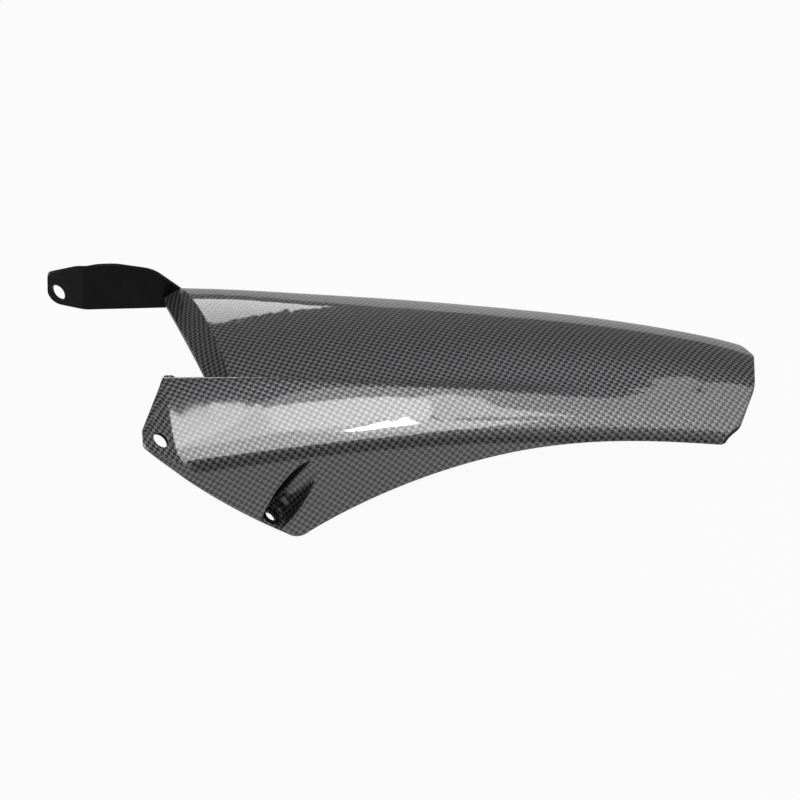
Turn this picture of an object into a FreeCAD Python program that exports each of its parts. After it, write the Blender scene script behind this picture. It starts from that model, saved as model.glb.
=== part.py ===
import FreeCAD, Part
import math
import os
from FreeCAD import Vector, Placement, Rotation

# Rear wheel fender moulded in one piece from carbon cloth.
# X runs to the rear along the fender, Y to the right side of the machine, Z up.
# The datum is the front left fixing hole. All sizes are millimetres.

# Laminate
wall = 2.0                  # thickness of the laminate

# Main sizes
tail_x = 338.5              # rear end of the fender
right_wall_y = 181.0        # right side wall at the datum station

# Stations along the length
x_front = -16.0             # front end of the lofted skin, before trimming
x_rear = tail_x + 5.5       # rear end of the lofted skin, before trimming
x_bend = 120.0              # the crest is level up to here, then curves down
x_mid = 185.0               # the cross radius settles here
bend_radius = 785.0         # radius of the crest behind that station
tail_drop = 3.0             # extra turn down at the very end

# Saddle over the tyre
crest_y = 92.0              # crest line at the front
crest_shift = 10.0          # crest line moves this far to the right at the rear
crest_z = 6.0               # crest height at the front
arch_front = 172.0          # cross radius at the front
arch_mid = 106.0            # cross radius at the middle
arch_rear = 90.0            # cross radius at the rear end
arch_from = 30.0            # the cross radius starts to tighten here
right_taper = 0.086         # right side wall comes in this much per millimetre of length
right_depth = 9.0           # height of the right side wall below its shoulder

# Left side: raised shelf, shoulder and skirt
edge_y = 44.0               # inner edge of the shelf
edge_rise = 11.0            # shelf edge above the crest at the front
edge_shift = 30.0           # that line moves this far to the right at the rear
edge_from = 140.0           # it starts to move here
riser_width = 5.5           # plan width of the riser between saddle and shelf
crease_start = 60.0         # the riser keeps its full height up to here
crease_end = 221.0          # and has faded out here
shoulder_round = 15.0       # plan width of the shoulder's turn into the skirt
foot_drop = 4.2             # saddle below the crest at the foot of the riser
shoulder_drop = 4.0         # shoulder below the crest at the front
shoulder_drop_rear = 8.7    # shoulder below the crest at the rear
shoulder_from = 110.0       # the shoulder starts to sink here
skirt_y = -23.5             # skirt plane at the datum station
skirt_taper = 0.224         # skirt comes in this much per millimetre of length
pad_y = -8.8                # centre of the front hole on its flat facet
pad_z = 7.6                 # its height on the facet
rim_near = Vector(-8.5, -13.0, 12.3)  # fold between the facet and the level front rim
rim_far = Vector(4.6, 39.5, 15.3)
facet_rear = 40.0           # the facet has run out under the shelf before this station

# Front edge of the saddle and its turned-down lip
lip_near = Vector(40.0, 53.0, 0)      # plan points of the front fold
lip_far = Vector(8.0, right_wall_y + 1.0, 0)
lip_forward = 10.0          # reach of the lip ahead of the fold
lip_down = 7.0              # fall of the lip below the fold
lip_bow = 3.5               # the lip's free edge bows forward this much at its middle

# Plan of the left front corner
corner_inner = Vector(1.8, 46.5, 0)
corner_outer = Vector(-12.9, -16.0, 0)
corner_round = 7.0

# Side outline of the left skirt
skirt_nose_x = -14.0
skirt_nose_z = 16.0
skirt_front_x = 32.6
skirt_front_z = -27.8
skirt_tip_x = 78.0
skirt_tip_z = -57.6
tip_half = 6.0
tip_rise = 2.2
sweep_mid_x = 135.0
sweep_mid_z = -34.5
sweep_top_x = 215.0
sweep_top_z = -21.8
sweep_rear_x = tail_x - 20.5
sweep_rear_z = -37.0

# Rear end in plan
tail_near = Vector(tail_x - 9.0, 62.0, 0)
tail_side = Vector(tail_x - 30.5, 38.0, 0)
tail_far = Vector(tail_x - 14.5, right_wall_y - 21.0, 0)
tail_round = 14.0

# Right arm
arm_inset = 2.0             # middle of the strap inside the right side wall
arm_wall = 2.4
arm_bend_x = -45.0
arm_bend_deg = 37.0
arm_end_x = -67.5
arm_root_x = 19.0
arm_bottom = -30.0
arm_top = -1.8
arm_neck_x = -6.0
arm_neck_top = -5.0
arm_neck_slope = 0.85
arm_bend_round = 8.0

# Fixing holes
bolt_dir = Vector(0.546, -0.182, 0.818)
front_hole_d = 10.0
lower_hole_d = 7.0
arm_hole_d = 10.0
arm_hole_x = -60.7
arm_hole_z = -28.6

# Scoop round the lower hole
scoop_x = 62.9
scoop_z = -46.5
scoop_in = 5.0              # seat lies this far behind the skirt's outer face
scoop_r = 10.0
scoop_r_end = 7.5
scoop_len = 60.0
ring_r = 5.6
ring_h = 0.8


def ramp(x, a, b):
    return min(1.0, max(0.0, (x - a) / (b - a)))


def outer_poles(x):
    """Outer line of the cross-section at station x, right wall first."""
    back = ramp(x, x_bend, tail_x)
    past = max(0.0, x - x_bend)
    cy = crest_y + crest_shift * back
    cz = crest_z - past * past / (2.0 * bend_radius)
    cz = cz - tail_drop * ramp(x, tail_x - 9.0, x_rear)
    radius = arch_front + (arch_mid - arch_front) * ramp(x, arch_from, x_mid)
    radius = radius + (arch_rear - arch_mid) * ramp(x, x_mid, tail_x)
    ry = right_wall_y - right_taper * x

    def arch(y):
        q = min(abs(y - cy), 0.95 * radius)
        return cz - radius + math.sqrt(radius * radius - q * q)

    shoulder = arch(ry - 5.0)
    wy = skirt_y + skirt_taper * x
    sy = wy + shoulder_round
    sd = shoulder_drop + (shoulder_drop_rear - shoulder_drop) * ramp(x, shoulder_from, crease_end)
    sz = cz - sd
    ey = edge_y + edge_shift * ramp(x, edge_from, tail_x)
    fy = ey + riser_width
    fade = ramp(x, crease_start, crease_end)

    def near(y):
        q = (cy - y) / (cy - sy)
        return cz - sd * q * q

    ez = (1.0 - fade) * (cz + edge_rise) + fade * near(ey)
    fz = (1.0 - fade) * (cz - foot_drop) + fade * near(fy)
    gap = cy - fy

    far = 0.5 * (ry - 16.0 + cy)
    return [
        Vector(x, ry + 2.0, shoulder - right_depth),
        Vector(x, ry, shoulder - 1.0),
        Vector(x, ry - 14.0, arch(ry - 14.0) + 0.8),
        Vector(x, far, arch(far) + 1.0),
        Vector(x, cy, cz + 1.0),
        Vector(x, fy + 0.6 * gap, cz + 0.16 * (fz - cz) + 0.5),
        Vector(x, fy + 0.25 * gap, cz + 0.72 * (fz - cz) + 0.3),
        Vector(x, fy, fz),
        Vector(x, ey, ez),
        Vector(x, ey + 0.15 * (sy - ey), ez + 0.1 * (sz - ez)),
        Vector(x, ey + 0.5 * (sy - ey), ez + 0.4 * (sz - ez)),
        Vector(x, sy, sz + 1.0),
        Vector(x, wy + 5.0, sz - 3.0),
        Vector(x, wy + 1.0, sz - 9.5),
        Vector(x, wy, sz - 19.0),
        Vector(x, wy - 6.0, sz - 66.0),
    ]


def inner_poles(outer):
    """The same line set in by the laminate thickness."""
    inner = []
    for i, p in enumerate(outer):
        before = outer[max(i - 1, 0)]
        after = outer[min(i + 1, len(outer) - 1)]
        d1 = (p - before) if i > 0 else (after - p)
        d2 = (after - p) if i < len(outer) - 1 else (p - before)
        d1.normalize()
        d2.normalize()
        n1 = Vector(0, d1.z, -d1.y)
        n2 = Vector(0, d2.z, -d2.y)
        mid = n1 + n2
        mid.normalize()
        reach = wall / max(mid.dot(n1), 0.5)
        inner.append(p - mid * reach)
    return inner


def clamped(count):
    """Knots and multiplicities of an even cubic with this many control points."""
    spans = count - 3
    knots = [i / spans for i in range(spans + 1)]
    mults = [4] + [1] * (spans - 1) + [4]
    return knots, mults


def net_face(rows):
    """Smooth face over a net of control points, one row for each station."""
    uk, um = clamped(len(rows))
    vk, vm = clamped(len(rows[0]))
    surface = Part.BSplineSurface()
    surface.buildFromPolesMultsKnots(rows, um, vm, uk, vk, False, False, 3, 3)
    return surface


def end_cap(upper, lower, u):
    """Flat face that closes one end between two net faces."""
    top = upper.uIso(u)
    bottom = lower.uIso(u)
    edges = [top.toShape(), bottom.toShape()]
    for v in (0.0, 1.0):
        edges.append(Part.makeLine(top.value(v), bottom.value(v)))
    return Part.Face(Part.Wire(Part.__sortEdges__(edges)))


def closed_solid(upper, lower):
    """Solid between two net faces with the same layout."""
    faces = [upper.toShape(), lower.toShape()]
    for v in (0.0, 1.0):
        faces.append(Part.makeRuledSurface(upper.vIso(v).toShape(), lower.vIso(v).toShape()))
    for u in (0.0, 1.0):
        faces.append(end_cap(upper, lower, u))
    shell = Part.makeShell(faces)
    shell.sewShape()
    solid = Part.makeSolid(shell)
    if solid.Volume < 0:
        solid.reverse()
    return solid


def rounded(points, radii):
    """Closed wire through corner points, each rounded by its own radius."""
    count = len(points)
    edges = []
    ends = []
    for i, p in enumerate(points):
        r = radii[i]
        d1 = points[i - 1] - p
        d2 = points[(i + 1) % count] - p
        d1.normalize()
        d2.normalize()
        if r <= 0:
            ends.append((p, p, None))
            continue
        half = 0.5 * d1.getAngle(d2)
        cut = r / math.tan(half)
        mid = d1 + d2
        mid.normalize()
        centre = p + mid * (r / math.sin(half))
        ends.append((p + d1 * cut, p + d2 * cut, centre - mid * r))
    for i in range(count):
        start, stop, top = ends[i]
        if top is not None:
            edges.append(Part.Arc(start, top, stop).toShape())
        follow = ends[(i + 1) % count][0]
        if (follow - stop).Length > 1e-6:
            edges.append(Part.makeLine(stop, follow))
    return Part.Wire(edges)


def prism(points, along, radii=None):
    """Straight prism over a closed outline, with rounded corners where given."""
    face = Part.Face(rounded(points, radii or [0] * len(points)))
    return face.extrude(along)


front_stations = [10.0, 36.0, 66.0, 100.0, 135.0, 170.0, 205.0]
rear_stations = [tail_x - 90.5, tail_x - 48.5, tail_x - 12.5]
stations = [x_front] + front_stations + rear_stations + [x_rear]
outer_net = [outer_poles(x) for x in stations]
inner_net = [inner_poles(row) for row in outer_net]
skin = closed_solid(net_face(outer_net), net_face(inner_net))

# Space under the outer face, down to a floor below everything
floor_net = [[Vector(p.x, p.y, -200.0) for p in row] for row in outer_net]
core = closed_solid(net_face(outer_net), net_face(floor_net))

# Flat facet for the front bolt with a level rim ahead of it
bolt = Vector(bolt_dir)
bolt.normalize()
front_hole = Vector(0, pad_y, pad_z)


def below(point, normal, depth):
    """Large block whose top lies under a plane, lowered into it by depth."""
    n = Vector(normal)
    n.normalize()
    reach = 120.0
    block = Part.makeBox(2.0 * reach, 2.0 * reach, 2.0 * reach, Vector(-reach, -reach, -2.0 * reach))
    block.Placement = Placement(point - n * depth, Rotation(Vector(0, 0, 1), n))
    return block


rim_run = rim_far - rim_near
rim_level = Vector(-rim_run.y, rim_run.x, 0)
rim_normal = rim_level.cross(rim_run)
if rim_normal.z < 0:
    rim_normal = rim_normal * -1.0
skirt_edge = Vector(0, skirt_y + 1.4, -10.0)
skirt_lean = Vector(skirt_taper, -1.0, 0.105)


def facet_block(depth):
    """Space under the facet, the rim and the skirt's upward run."""
    block = Part.makeBox(facet_rear - x_front, edge_y + 100.0, 100.0, Vector(x_front, -100.0, -50.0))
    for point, normal in ((front_hole, bolt), (rim_near, rim_normal), (skirt_edge, skirt_lean)):
        block = block.common(below(point, normal, depth))
    return block


inner_floor = [[Vector(p.x, p.y, -200.0) for p in row] for row in inner_net]
hollow = closed_solid(net_face(inner_net), net_face(inner_floor))
facet = facet_block(0.0).cut(facet_block(wall)).cut(hollow)
skin = skin.cut(facet_block(wall)).fuse(facet)

# Scoop for the lower bolt: a tapering groove that ends in a flat seat
skirt_at = skirt_y + skirt_taper * scoop_x
skirt_out = Vector(skirt_taper, -1.0, 0.12)
skirt_out.normalize()
seat = Vector(scoop_x, skirt_at - 1.5, scoop_z) - skirt_out * scoop_in
groove = Vector(0.58, -0.12, 0.80)
groove.normalize()


def groove_cone(extra, below):
    """Tapering groove, widened by extra, above a seat lowered by below."""
    start = seat - groove * 30.0
    slope = (scoop_r_end - scoop_r) / scoop_len
    mouth = scoop_r - slope * 30.0 + extra
    cone = Part.makeCone(mouth, scoop_r_end + extra, scoop_len + 30.0, start, groove)
    block = Part.makeBox(160.0, 160.0, 160.0)
    block.Placement = Placement(seat - bolt * below, Rotation(Vector(0, 0, 1), bolt), Vector(0, 0, 0))
    shift = Placement(Vector(-80.0, -80.0, 0), Rotation())
    block.Placement = block.Placement.multiply(shift)
    return cone.common(block)


shell = skin.fuse(groove_cone(wall, wall).common(core))
shell = shell.cut(groove_cone(0.0, 0.0))

# Trim the front of the saddle and of the left shelf in plan
far_out = 400.0
top_to_bottom = Vector(0, 0, 2.0 * far_out)
across = Vector(0, far_out + 60.0, 0)


def plan(x, y):
    return Vector(x, y, -far_out)


def side(x, z):
    return Vector(x, -far_out, z)


plan_front = [
    plan(-far_out, -far_out),
    plan(corner_outer.x, -far_out),
    plan(corner_outer.x, corner_outer.y),
    plan(corner_inner.x, corner_inner.y),
    plan(lip_near.x, corner_inner.y),
    plan(lip_near.x, lip_near.y),
    plan(lip_far.x, lip_far.y),
    plan(lip_far.x, far_out),
    plan(-far_out, far_out),
]
shell = shell.cut(prism(plan_front, top_to_bottom, [0, 0, 0, corner_round, 0, 0, 0, 0, 0]))

# Trim the rear end in plan
plan_tail = [
    plan(far_out, -far_out),
    plan(far_out, far_out),
    plan(tail_far.x - 30.0, far_out),
    plan(tail_far.x, tail_far.y),
    plan(tail_x, tail_far.y - 30.0),
    plan(tail_x, tail_near.y + 32.0),
    plan(tail_near.x, tail_near.y),
    plan(tail_side.x, tail_side.y),
    plan(tail_side.x, -far_out),
]
tail_radii = [0, 0, 0, tail_round, tail_round, 40.0, tail_round, 0, 0]
shell = shell.cut(prism(plan_tail, top_to_bottom, tail_radii))

# Trim the skirt along its side outline
sweep = Part.BSplineCurve()
sweep.interpolate([
    side(skirt_tip_x + tip_half, skirt_tip_z + tip_rise),
    side(sweep_mid_x, sweep_mid_z),
    side(sweep_top_x, sweep_top_z),
    side(sweep_rear_x, sweep_rear_z),
    side(x_rear + 20.0, sweep_rear_z - 12.0),
])
outline = [
    side(x_rear + 20.0, sweep_rear_z - 12.0),
    side(x_rear + 20.0, -far_out),
    side(-far_out, -far_out),
    side(-far_out, skirt_nose_z),
    side(skirt_nose_x, skirt_nose_z),
]
edges = [Part.makeLine(a, b) for a, b in zip(outline[:-1], outline[1:])]
tip_front = side(skirt_tip_x - tip_half, skirt_tip_z + tip_rise)
tip_rear = side(skirt_tip_x + tip_half, skirt_tip_z + tip_rise)
edges.append(Part.Arc(outline[-1], side(skirt_front_x, skirt_front_z), tip_front).toShape())
edges.append(Part.Arc(tip_front, side(skirt_tip_x, skirt_tip_z), tip_rear).toShape())
under = Part.Face(Part.Wire([sweep.toShape()] + edges)).extrude(across)
shell = shell.cut(under)
right_under = [
    side(-far_out, arm_bottom),
    side(lip_far.x, arm_bottom),
    side(x_bend, arm_bottom - 14.0),
    side(far_out, arm_bottom - 30.0),
    side(far_out, -far_out),
    side(-far_out, -far_out),
]

# Lip along the front fold of the saddle
fold_dir = plan(lip_far.x, lip_far.y) - plan(lip_near.x, lip_near.y)
fold_dir.normalize()
fold_normal = Vector(-fold_dir.y, fold_dir.x, 0)
lip_run = Vector(-1.5 * lip_forward, 0, -1.5 * lip_down)
lip_near_end = plan(lip_near.x - lip_forward, lip_near.y)
lip_far_end = plan(lip_far.x - lip_forward, lip_far.y)
lip_middle = (lip_near_end + lip_far_end) * 0.5 - Vector(lip_bow, 0, 0)
ahead = [
    Part.Arc(lip_near_end, lip_middle, lip_far_end).toShape(),
    Part.makeLine(lip_far_end, lip_far_end - Vector(60.0, 0, 0)),
    Part.makeLine(lip_far_end - Vector(60.0, 0, 0), lip_near_end - Vector(60.0, 0, 0)),
    Part.makeLine(lip_near_end - Vector(60.0, 0, 0), lip_near_end),
]
ahead_of_lip = Part.Face(Part.Wire(ahead)).extrude(top_to_bottom)
for face in list(shell.Faces):
    flat = all(abs((v.Point - lip_near).dot(fold_normal)) < 1e-3 for v in face.Vertexes)
    if flat and abs(face.normalAt(0, 0).dot(fold_normal)) > 0.999:
        shell = shell.fuse(face.extrude(lip_run).cut(ahead_of_lip))

# Arm on the right side: a strap bent outwards at its end
arm_y = right_wall_y - arm_inset
turn = math.tan(math.radians(arm_bend_deg))
half = 0.5 * arm_wall
lean = math.tan(0.5 * math.radians(arm_bend_deg)) * half
end_y = arm_y + (arm_bend_x - arm_end_x) * turn
skew = half / math.cos(math.radians(arm_bend_deg))
strap_plan = [
    plan(arm_root_x, arm_y - half),
    plan(arm_root_x, arm_y + half),
    plan(arm_bend_x + lean, arm_y + half),
    plan(arm_end_x - 20.0, end_y + 20.0 * turn + skew),
    plan(arm_end_x - 20.0, end_y + 20.0 * turn - skew),
    plan(arm_bend_x - lean, arm_y - half),
]
strap = prism(strap_plan, top_to_bottom, [0, 0, arm_bend_round, 0, 0, arm_bend_round + arm_wall])
strap_side = [
    side(arm_root_x, arm_bottom),
    side(arm_bend_x, arm_bottom - 2.0),
    side(arm_end_x, arm_hole_z - 9.5),
    side(arm_end_x, arm_hole_z + 9.5),
    side(arm_bend_x, arm_top),
    side(arm_neck_x - 22.0, arm_top + 0.6),
    side(arm_neck_x, arm_neck_top),
    side(arm_root_x, arm_neck_top - arm_neck_slope * (arm_root_x - arm_neck_x)),
]
full_width = Vector(0, 2.0 * far_out, 0)
strap_radii = [0, 30.0, 6.0, 6.0, 30.0, 30.0, 20.0, 0]
strap = strap.common(prism(strap_side, full_width, strap_radii))
right_half = Part.makeBox(2.0 * far_out, far_out, far_out, Vector(-far_out, crest_y, -far_out))
shell = shell.cut(prism(right_under, full_width).common(right_half))
shell = shell.fuse(strap)

# Fixing holes
def drill(centre, axis, diameter):
    return Part.makeCylinder(0.5 * diameter, 30.0, centre - axis * 15.0, axis)


arm_axis = Vector(-math.sin(math.radians(arm_bend_deg)), -math.cos(math.radians(arm_bend_deg)), 0)
arm_hole = Vector(arm_hole_x, arm_y + (arm_bend_x - arm_hole_x) * turn, arm_hole_z)
shell = shell.cut(drill(front_hole, bolt, front_hole_d))
shell = shell.fuse(Part.makeCylinder(ring_r, ring_h + 0.5 * wall, seat - bolt * (0.5 * wall), bolt))
shell = shell.cut(drill(seat, bolt, lower_hole_d))
shell = shell.cut(drill(arm_hole, arm_axis, arm_hole_d))

fender = shell.removeSplitter()
fender.translate(front_hole * -1.0)
os.makedirs("parts", exist_ok=True)
fender.exportStep("parts/rear_fender.step")
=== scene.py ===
# %% [markdown]
# A motorcycle rear fender is one moulding of carbon cloth and resin. Its exact
# shape could be drawn again here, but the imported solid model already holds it,
# so this lesson starts by loading that model as a fixed frame. Every size below
# is in metres, in the frame of the part: +X runs to the rear, +Y to the right of
# the machine, and +Z up.

# %% Load the frame
import math

import bmesh
import bpy
from mathutils import Matrix, Vector


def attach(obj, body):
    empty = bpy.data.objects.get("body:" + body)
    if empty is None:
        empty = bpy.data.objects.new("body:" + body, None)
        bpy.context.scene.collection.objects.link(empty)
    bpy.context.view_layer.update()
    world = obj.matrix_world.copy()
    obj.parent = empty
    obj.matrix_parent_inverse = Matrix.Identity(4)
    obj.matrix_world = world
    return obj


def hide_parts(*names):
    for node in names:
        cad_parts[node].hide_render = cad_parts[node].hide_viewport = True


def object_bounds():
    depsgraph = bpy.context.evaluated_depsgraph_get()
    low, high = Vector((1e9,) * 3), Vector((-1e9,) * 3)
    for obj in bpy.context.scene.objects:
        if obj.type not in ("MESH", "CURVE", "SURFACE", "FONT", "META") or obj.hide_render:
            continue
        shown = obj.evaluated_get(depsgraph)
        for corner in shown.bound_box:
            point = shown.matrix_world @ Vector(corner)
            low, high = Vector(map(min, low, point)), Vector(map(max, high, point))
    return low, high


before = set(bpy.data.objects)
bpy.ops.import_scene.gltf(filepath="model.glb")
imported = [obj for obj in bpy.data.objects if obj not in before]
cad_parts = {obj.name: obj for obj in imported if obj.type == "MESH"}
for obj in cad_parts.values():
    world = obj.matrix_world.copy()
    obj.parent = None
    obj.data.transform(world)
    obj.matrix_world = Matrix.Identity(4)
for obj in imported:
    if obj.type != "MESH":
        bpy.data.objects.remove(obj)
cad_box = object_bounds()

scene = bpy.context.scene
scene.view_settings.view_transform = "Standard"


def in_short(box):
    """A box with few digits, for printing."""
    return [[round(c, 4) for c in corner] for corner in box]


print("solid box", in_short(cad_box))

# %% [markdown]
# The solid arrives as loose triangles. They could be shown as they are, but each
# would then shade by itself. A copy of them, with its doubled corners merged,
# becomes one closed skin that shades smoothly.

# %% Merge a copy of the moulding
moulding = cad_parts["rear_fender"]
weld = 2e-6

skin = bmesh.new()
skin.from_mesh(moulding.data)
bmesh.ops.remove_doubles(skin, verts=skin.verts[:], dist=weld)
bmesh.ops.dissolve_degenerate(skin, edges=skin.edges[:], dist=weld)
bmesh.ops.triangulate(skin, faces=skin.faces[:])
print("skin:", len(skin.verts), "points,", len(skin.faces), "faces")

# %% [markdown]
# A real corner, such as the cut rim of the laminate, the fold of the front lip or
# the edge of the bolt scoop, has to stay crisp. So an edge is marked hard where
# its two faces meet at more than a set angle. The same edges are the seams along
# which the cloth is cut when it is laid flat in the next step.

# %% Mark the hard corners
corner_angle = math.radians(28.0)

for face in skin.faces:
    face.smooth = True
corners = 0
for edge in skin.edges:
    sharp = len(edge.link_faces) != 2 or edge.calc_face_angle(0.0) > corner_angle
    edge.smooth = not sharp
    edge.seam = sharp
    corners += sharp
open_edges = sum(1 for edge in skin.edges if len(edge.link_faces) != 2)
print("hard edges:", corners, "open edges:", open_edges)

fender_mesh = bpy.data.meshes.new("fender_skin")
skin.to_mesh(fender_mesh)
skin.free()
fender = bpy.data.objects.new("fender_skin", fender_mesh)
scene.collection.objects.link(fender)

# %% [markdown]
# Cloth lies on a mould without stretching much, so its tows follow a flat pattern
# laid over the curved skin. A pattern thrown straight down on the part would
# smear on the steep skirt. Unwrapping the skin along its seams gives a pattern
# that keeps its angles, as cloth does.

# %% Unwrap the cloth
island_gap = 0.01

fender_mesh.uv_layers.new(name="cloth")
bpy.context.view_layer.objects.active = fender
fender.select_set(True)
bpy.ops.object.mode_set(mode="EDIT")
bpy.ops.mesh.select_all(action="SELECT")
bpy.ops.uv.unwrap(method="ANGLE_BASED", margin=island_gap)
bpy.ops.object.mode_set(mode="OBJECT")
fender.select_set(False)
print("pattern:", len(fender_mesh.uv_layers["cloth"].data), "corners")

# %% [markdown]
# The unwrap packs its islands at any size and angle. An island is the run of
# faces that hang together without crossing a seam, like one piece of cloth, and
# the next helper gathers them.

# %% Gather the pieces of cloth
def islands_of(sheet):
    """Groups of faces that hang together without crossing a seam."""
    seen = set()
    groups = []
    for start in sheet.faces:
        if start in seen:
            continue
        seen.add(start)
        group = [start]
        for face in group:
            for edge in face.edges:
                if edge.seam:
                    continue
                for other in edge.link_faces:
                    if other not in seen:
                        seen.add(other)
                        group.append(other)
        groups.append(group)
    return groups


cloth = bmesh.new()
cloth.from_mesh(fender_mesh)
cloth_uv = cloth.loops.layers.uv["cloth"]
groups = islands_of(cloth)
print("cloth:", len(groups), "islands, largest", max(len(g) for g in groups), "faces")

# %% [markdown]
# Each piece of cloth is then scaled to true metres, by comparing its flat area
# with its real one, and turned until its first direction runs rearward. That way
# the weave keeps its real pitch and heading on every face of the moulding.

# %% Lay the pieces true
no_area = 1e-12


def cross_uv(face, uv):
    """Signed area of a triangle on the flat pattern."""
    a, b, c = (loop[uv].uv for loop in face.loops)
    return 0.5 * ((b.x - a.x) * (c.y - a.y) - (c.x - a.x) * (b.y - a.y))


def rearward(face, uv):
    """The direction on the flat pattern in which X grows, weighted by area."""
    a, b, c = (loop[uv].uv for loop in face.loops)
    xa, xb, xc = (loop.vert.co.x for loop in face.loops)
    area = 2.0 * cross_uv(face, uv)
    if abs(area) < no_area:
        return Vector((0.0, 0.0))
    gu = ((xb - xa) * (c.y - a.y) - (xc - xa) * (b.y - a.y)) / area
    gv = ((xc - xa) * (b.x - a.x) - (xb - xa) * (c.x - a.x)) / area
    return Vector((gu, gv)) * face.calc_area()


def lay_true(group, uv):
    """Scale an island to metres and turn its first direction rearward."""
    flat = sum(abs(cross_uv(face, uv)) for face in group)
    real = sum(face.calc_area() for face in group)
    if flat <= 0.0 or real <= 0.0:
        return
    size = math.sqrt(real / flat)
    along = Vector((0.0, 0.0))
    for face in group:
        along += rearward(face, uv)
    turn = -math.atan2(along.y, along.x) if along.length > 0.0 else 0.0
    c, s = size * math.cos(turn), size * math.sin(turn)
    for face in group:
        for loop in face.loops:
            u, v = loop[uv].uv
            loop[uv].uv = (c * u - s * v, s * u + c * v)


for group in groups:
    lay_true(group, cloth_uv)
print("cloth area", round(sum(face.calc_area() for face in cloth.faces), 4), "square metres")

# %% [markdown]
# Where the moulding is trimmed and drilled, the saw shows the edge of the
# laminate, which is sealed with plain dark resin and has no weave on it. Such a
# face is a long narrow band, so its area is small for the length of its border.
# That tells the cut edges from the skin without naming a single face.

# %% Find the cut edges
narrow = 0.0015
resin_slot = 1

trimmed = 0
for group in groups:
    area = sum(face.calc_area() for face in group)
    border = sum(edge.calc_length() for face in group for edge in face.edges if edge.seam)
    if border > 0.0 and area / border < narrow:
        for face in group:
            face.material_index = resin_slot
        trimmed += len(group)
cloth.to_mesh(fender_mesh)
cloth.free()
print("cut edges:", trimmed, "faces")

# %% [markdown]
# A finish is a tree of small nodes, and three helpers keep it readable. One adds
# a node, one links two sockets or sets a plain number, and one does a single
# step of arithmetic.

# %% Helpers for a finish
def add_node(tree, kind, **values):
    """A new node with its properties set."""
    node = tree.nodes.new(kind)
    for name, value in values.items():
        setattr(node, name, value)
    return node


def join(tree, source, target):
    """Link an output socket to an input socket, or set a plain value."""
    if isinstance(source, (int, float)):
        target.default_value = source
    else:
        tree.links.new(source, target)


def calc(tree, operation, a, b=0.0, c=0.0):
    """One step of arithmetic."""
    node = add_node(tree, "ShaderNodeMath", operation=operation)
    join(tree, a, node.inputs[0])
    join(tree, b, node.inputs[1])
    join(tree, c, node.inputs[2])
    return node.outputs[0]


carbon = bpy.data.materials.new("carbon_cloth")
carbon.use_nodes = True
tree = carbon.node_tree
shade = tree.nodes["Principled BSDF"]
print("finish:", carbon.name)

# %% [markdown]
# Plain weave: every tow goes over one crossing tow and under the next, so the
# cloth shows a checkered field of small crowned squares. A picture of cloth could
# be laid on, but a pattern made of sums stays sharp at any distance. The flat
# pattern is turned and divided by the width of a tow. After that, a whole number
# counts the tows, and an odd or even sum says which direction lies on top.

# %% Count the tows
tow = 0.00225
cloth_turn = math.radians(-22.0)

pattern = add_node(tree, "ShaderNodeUVMap", uv_map="cloth")
place = add_node(tree, "ShaderNodeMapping")
place.inputs["Rotation"].default_value = (0.0, 0.0, cloth_turn)
place.inputs["Scale"].default_value = (1.0 / tow, 1.0 / tow, 1.0)
tree.links.new(pattern.outputs["UV"], place.inputs["Vector"])
split = add_node(tree, "ShaderNodeSeparateXYZ")
tree.links.new(place.outputs["Vector"], split.inputs["Vector"])
u, v = split.outputs["X"], split.outputs["Y"]

cell = calc(tree, "FLOOR", u)
row = calc(tree, "FLOOR", v)
over = calc(tree, "PINGPONG", calc(tree, "ADD", cell, row), 1.0)
print("tow", tow, "turned", round(math.degrees(cloth_turn)), "degrees")

# %% [markdown]
# A tow is a flat bundle of fibres with a low crown. Half a sine wave across its
# width and a flatter one along it give that crown, and the bump of it turns the
# light differently on the two directions. Modelling every tow would only make the
# mesh heavy, since its crown is far thinner than the skin.

# %% Crown the tows
crown_across = 0.75
crown_along = 0.45
crown_height = 0.0003

across_u = calc(tree, "SINE", calc(tree, "MULTIPLY", calc(tree, "FRACT", u), math.pi))
across_v = calc(tree, "SINE", calc(tree, "MULTIPLY", calc(tree, "FRACT", v), math.pi))


def crown(width_wave, length_wave):
    """Height of a tow from its wave across and its wave along."""
    tall = calc(tree, "MULTIPLY", width_wave, crown_across)
    return calc(tree, "ADD", tall, calc(tree, "MULTIPLY", length_wave, crown_along))


height = add_node(tree, "ShaderNodeMix", data_type="FLOAT")
tree.links.new(over, height.inputs[0])
join(tree, crown(across_v, across_u), height.inputs[2])
join(tree, crown(across_u, across_v), height.inputs[3])

bump = add_node(tree, "ShaderNodeBump")
bump.inputs["Strength"].default_value = 0.6
bump.inputs["Distance"].default_value = crown_height
tree.links.new(height.outputs[0], bump.inputs["Height"])
tree.links.new(bump.outputs["Normal"], shade.inputs["Normal"])
print("bump distance", round(crown_height * 1000.0, 2), "mm")

# %% [markdown]
# The two directions of tow catch the light differently. That sheen is painted
# into the colour: one direction is dark and the other a painted mid grey. Fibre
# shines like a dull metal. Over it lies a clear coat with its own smooth normal,
# which carries the sharp reflections. Its weight is under one, so a face seen at
# a low angle does not become a plain mirror of the floor.
# The coat flows a little at each corner, and the bevel node rounds it there, in
# the shading alone.

# %% Paint the tow sheen and coat the cloth
coat_round = 0.0012

# Painted sheen: the dark and the mid grey stand in for the light that each tow direction
# catches.
painted_tow_sheen = add_node(tree, "ShaderNodeMix", data_type="RGBA")
tree.links.new(over, painted_tow_sheen.inputs[0])
painted_tow_sheen.inputs[6].default_value = (0.024, 0.024, 0.025, 1.0)
painted_tow_sheen.inputs[7].default_value = (0.16, 0.16, 0.165, 1.0)
tree.links.new(painted_tow_sheen.outputs[2], shade.inputs["Base Color"])

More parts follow.
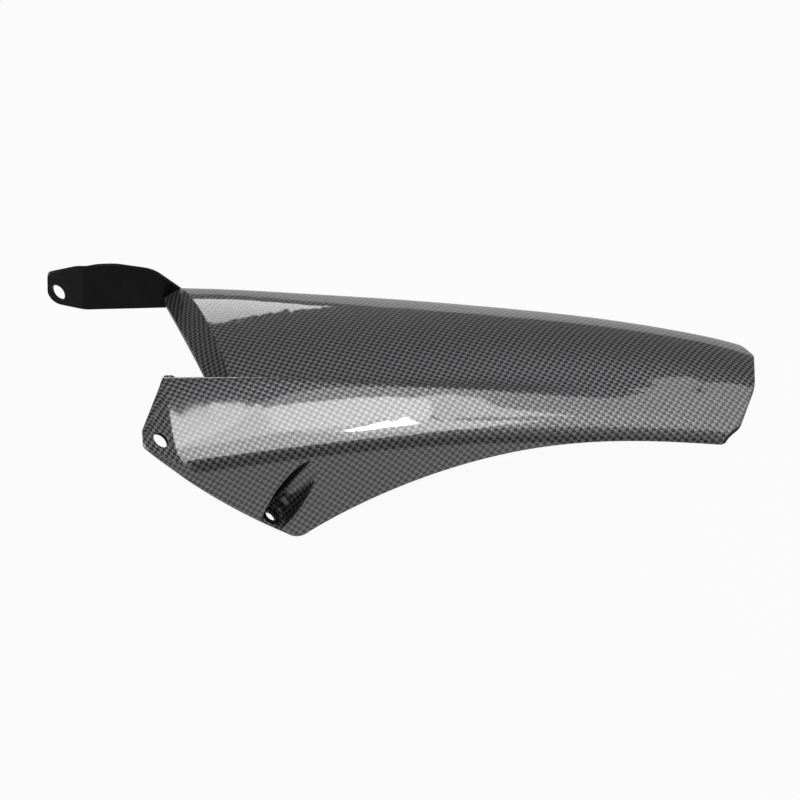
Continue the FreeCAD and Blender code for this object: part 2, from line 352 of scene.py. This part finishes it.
shade.inputs["Metallic"].default_value = 0.55
shade.inputs["Roughness"].default_value = 0.42
shade.inputs["Specular IOR Level"].default_value = 0.1
shade.inputs["Specular Tint"].default_value = (0.3, 0.3, 0.3, 1.0)
shade.inputs["Coat Weight"].default_value = 0.43
shade.inputs["Coat Roughness"].default_value = 0.04
shade.inputs["Coat IOR"].default_value = 2.05

rounding = add_node(tree, "ShaderNodeBevel", samples=4)
rounding.inputs["Radius"].default_value = coat_round
tree.links.new(rounding.outputs["Normal"], bump.inputs["Normal"])
tree.links.new(rounding.outputs["Normal"], shade.inputs["Coat Normal"])
fender_mesh.materials.append(carbon)
print("carbon:", len(tree.nodes), "nodes")

# %% [markdown]
# The cloth is laid into the mould from behind, so the hidden side never touches
# the polished tool. There the resin dries black and a little wrinkled under the
# vacuum bag. A noise on the part's own coordinates gives both the faint change
# of tone and the wrinkles.

# %% Mix the bag side resin
resin = bpy.data.materials.new("bag_side_resin")
resin.use_nodes = True
resin_tree = resin.node_tree
dark = resin_tree.nodes["Principled BSDF"]
dark.inputs["Roughness"].default_value = 0.32
dark.inputs["Specular IOR Level"].default_value = 0.07

where = add_node(resin_tree, "ShaderNodeTexCoord")
folds = add_node(resin_tree, "ShaderNodeTexNoise")
folds.inputs["Scale"].default_value = 55.0
folds.inputs["Detail"].default_value = 3.0
folds.inputs["Distortion"].default_value = 0.8
resin_tree.links.new(where.outputs["Object"], folds.inputs["Vector"])

cast = add_node(resin_tree, "ShaderNodeMix", data_type="RGBA")
cast.inputs[6].default_value = (0.004, 0.004, 0.0045, 1.0)
cast.inputs[7].default_value = (0.016, 0.016, 0.017, 1.0)
resin_tree.links.new(folds.outputs["Fac"], cast.inputs[0])
resin_tree.links.new(cast.outputs[2], dark.inputs["Base Color"])

wrinkle = add_node(resin_tree, "ShaderNodeBump")
wrinkle.inputs["Strength"].default_value = 0.35
wrinkle.inputs["Distance"].default_value = 0.0012
resin_tree.links.new(folds.outputs["Fac"], wrinkle.inputs["Height"])
resin_tree.links.new(wrinkle.outputs["Normal"], dark.inputs["Normal"])
fender_mesh.materials.append(resin)
print("resin:", len(resin_tree.nodes), "nodes")

# %% [markdown]
# Which faces are on the hidden side? The fender wraps the wheel, so a face that
# looks towards a line low inside the wheel is hidden from outside. Only the
# direction across the machine and up counts, so the position along X is ignored.
# Faces could be picked by hand, but such a test still works after a change of
# shape. It is not exact: the back of the scoop leans outward and keeps its weave.

# %% Darken the bag side
wheel_line = Vector((0.0, 0.095, -0.30))

hidden = 0
for face in fender_mesh.polygons:
    away = face.center - wheel_line
    away.x = 0.0
    if face.normal.dot(away) < 0.0:
        face.material_index = resin_slot
        hidden += 1
print("bag side:", hidden, "of", len(fender_mesh.polygons), "faces")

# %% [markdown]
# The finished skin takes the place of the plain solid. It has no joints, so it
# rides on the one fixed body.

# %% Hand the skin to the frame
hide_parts("rear_fender")
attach(fender, "root")
print("piece:", fender.name, "on root")

# %% [markdown]
# The picture is taken with a long lens from the left, 35 degrees above the
# horizon, so the sides of the fender hardly converge. The lens is chosen from
# the distance and the width that the frame has to hold.

# %% Set the camera
look_at = Vector((0.1355, 0.0900, -0.0354))
view_up = math.radians(35.0)
distance = 12.0
frame_width = 0.4571

eye = bpy.data.cameras.new("studio_camera")
eye.sensor_width = 36.0
eye.lens = eye.sensor_width * distance / frame_width
camera = bpy.data.objects.new("studio_camera", eye)
camera.location = look_at + distance * Vector((0.0, -math.cos(view_up), math.sin(view_up)))
camera.rotation_euler = (math.pi / 2 - view_up, 0.0, 0.0)
scene.collection.objects.link(camera)
scene.camera = camera
print("lens", round(eye.lens, 1), "mm")

# %% [markdown]
# A clear coat shows its surroundings, so a lamp is drawn as much by its shape as
# by its strength. The first helper makes a rectangular lamp that faces a point.
# The second hangs one level overhead, which is how most of a studio's soft boxes
# are used.

# %% Make a soft box
def soft_box(name, centre, aim, size, watts, spin=0.0):
    """A rectangular lamp that faces a point, spun about its own axis in degrees."""
    light = bpy.data.lights.new(name, "AREA")
    light.shape = "RECTANGLE"
    light.size, light.size_y = size
    light.energy = watts
    lamp = bpy.data.objects.new(name, light)
    lamp.location = centre
    way = Vector(aim) - Vector(centre)
    facing = way.to_track_quat("-Z", "Y").to_matrix()
    lamp.rotation_euler = (facing @ Matrix.Rotation(math.radians(spin), 3, "Z")).to_euler()
    scene.collection.objects.link(lamp)
    return lamp


def overhead(name, place, size, watts, spin=0.0):
    """A soft box that hangs level and faces straight down."""
    x, y = place[:2]
    return soft_box(name, place, (x, y, 0.0), size, watts, spin)


bright = overhead("front_bright_box", (0.29, 0.2375, 1.0), (0.32, 0.095), 0.60)
print("first lamp:", bright.name)

# %% [markdown]
# The left panel mirrors a small patch of the ceiling above it. The bright box of
# the last cell gives the pale band along the panel. Now come one slanted piece for
# the front end of the band and one for its turn towards the rear. A wide dim box
# fills its lower half, and a small strong strip is the hot streak in its middle.

# %% Hang the front lamps
overhead("front_left_box", (0.045, 0.342, 1.0), (0.27, 0.12), 0.80, -57.0)
overhead("front_joint_box", (0.53, 0.315, 1.0), (0.24, 0.12), 0.31, 42.0)
overhead("front_dim_box", (0.36, -0.225, 1.0), (0.56, 0.83), 5.9)
overhead("spot_strip", (0.365, 0.12, 0.99), (0.13, 0.07), 1.48, 40.0)

# %% [markdown]
# The lower rear side mirrors the ceiling further to the rear, where one long
# slanted box gives it an even pale tone. A small box beside it makes the step in
# the upper edge of that tone, and a weak one lights the tail from the left. Two
# windows stand low beyond the right side. The first shows as a pale wedge on the
# saddle just behind the lip, and the second lights the part from the front right.

# %% Hang the rear lamps and the windows
overhead("rear_box", (0.954, 0.38, 0.97), (1.45, 0.80), 6.3, 34.0)
overhead("rear_step_box", (0.735, 0.769, 0.97), (0.13, 0.09), 0.065, 34.0)
soft_box("rear_side_box", (0.95, -0.60, 0.75), (0.28, 0.05, 0.0), (0.9, 0.9), 0.8)
soft_box("back_window", (0.0, 1.6, 0.22), (0.0, 0.1, 0.22), (0.13, 0.66), 1.02, -9.0)
soft_box("left_window", (-1.4, 1.5, 0.05), (0.0, 0.1, 0.0), (0.6, 0.16), 2.0)

# %% [markdown]
# The room beyond the lamps is a plain dim grey. It could be black, but a little
# light from all round keeps the weave readable where no lamp is mirrored.

# %% Dim the room
room_grey = 0.16

world = bpy.data.worlds.new("studio")
scene.world = world
world.use_nodes = True
sky = world.node_tree.nodes["Background"]
sky.inputs["Color"].default_value = (room_grey, room_grey, room_grey, 1.0)
sky.inputs["Strength"].default_value = 1.0
print("room grey", room_grey)

# %% [markdown]
# The fender lies on a wide sheet of paper. The sheet is one flat face, a hair
# below the lowest point of the part so that the two never share a place.

# %% Lay the floor
paper_half = 4.0
paper_gap = 0.0005
paper_place = (0.13, 0.13, cad_box[0][2] - paper_gap)

sheet = bmesh.new()
bmesh.ops.create_grid(sheet, x_segments=1, y_segments=1, size=paper_half)
bmesh.ops.translate(sheet, verts=sheet.verts[:], vec=paper_place)
floor_mesh = bpy.data.meshes.new("floor")
sheet.to_mesh(floor_mesh)
sheet.free()
floor = bpy.data.objects.new("floor", floor_mesh)
scene.collection.objects.link(floor)
print("floor at", round(paper_place[2], 4))

# %% [markdown]
# The picture has a plain white ground. More light on the paper would also flood
# the part, so the paper glows instead. A strength of one is white. The glow fades
# to the grey of the room just outside the picture.

# %% Let the paper glow
white_middle = (0.135, 0.133, cad_box[0][2])
white_reach = 0.46
white_end = 0.62

paper = bpy.data.materials.new("white_paper")
paper.use_nodes = True
paper_tree = paper.node_tree

spot = add_node(paper_tree, "ShaderNodeTexCoord")
from_middle = add_node(paper_tree, "ShaderNodeVectorMath", operation="DISTANCE")
from_middle.inputs[1].default_value = white_middle
paper_tree.links.new(spot.outputs["Object"], from_middle.inputs[0])
fall = add_node(paper_tree, "ShaderNodeMapRange", interpolation_type="SMOOTHSTEP")
fall.inputs["From Min"].default_value = white_reach
fall.inputs["From Max"].default_value = white_end
fall.inputs["To Min"].default_value = 1.0
fall.inputs["To Max"].default_value = room_grey
paper_tree.links.new(from_middle.outputs["Value"], fall.inputs["Value"])
glow = add_node(paper_tree, "ShaderNodeEmission")
glow.inputs["Color"].default_value = (1.0, 1.0, 1.0, 1.0)
paper_tree.links.new(fall.outputs["Result"], glow.inputs["Strength"])
print("white to", white_reach, "grey from", white_end)

# %% [markdown]
# Only the camera, and what the coat mirrors or a clear part lets through, may see
# the glow. So it shows in reflections, but it is no lamp that brightens the
# fender's own colour. A small share of the paper stays matt, and that share takes
# the soft shadow which makes the fender lie on the ground.

# %% Mix glow and matt paper
glow_share = 0.95

matt = paper_tree.nodes["Principled BSDF"]
matt.inputs["Base Color"].default_value = (0.35, 0.35, 0.35, 1.0)
matt.inputs["Roughness"].default_value = 0.9

ray = add_node(paper_tree, "ShaderNodeLightPath")
seen = ray.outputs["Is Camera Ray"]
for kind in ("Is Transmission Ray", "Is Glossy Ray"):
    seen = calc(paper_tree, "MAXIMUM", seen, ray.outputs[kind])
blend = add_node(paper_tree, "ShaderNodeMixShader")
join(paper_tree, calc(paper_tree, "MULTIPLY", seen, glow_share), blend.inputs[0])
paper_tree.links.new(matt.outputs["BSDF"], blend.inputs[1])
paper_tree.links.new(glow.outputs["Emission"], blend.inputs[2])
surface = paper_tree.nodes["Material Output"].inputs["Surface"]
paper_tree.links.new(blend.outputs["Shader"], surface)
floor_mesh.materials.append(paper)
print("paper:", len(paper_tree.nodes), "nodes")
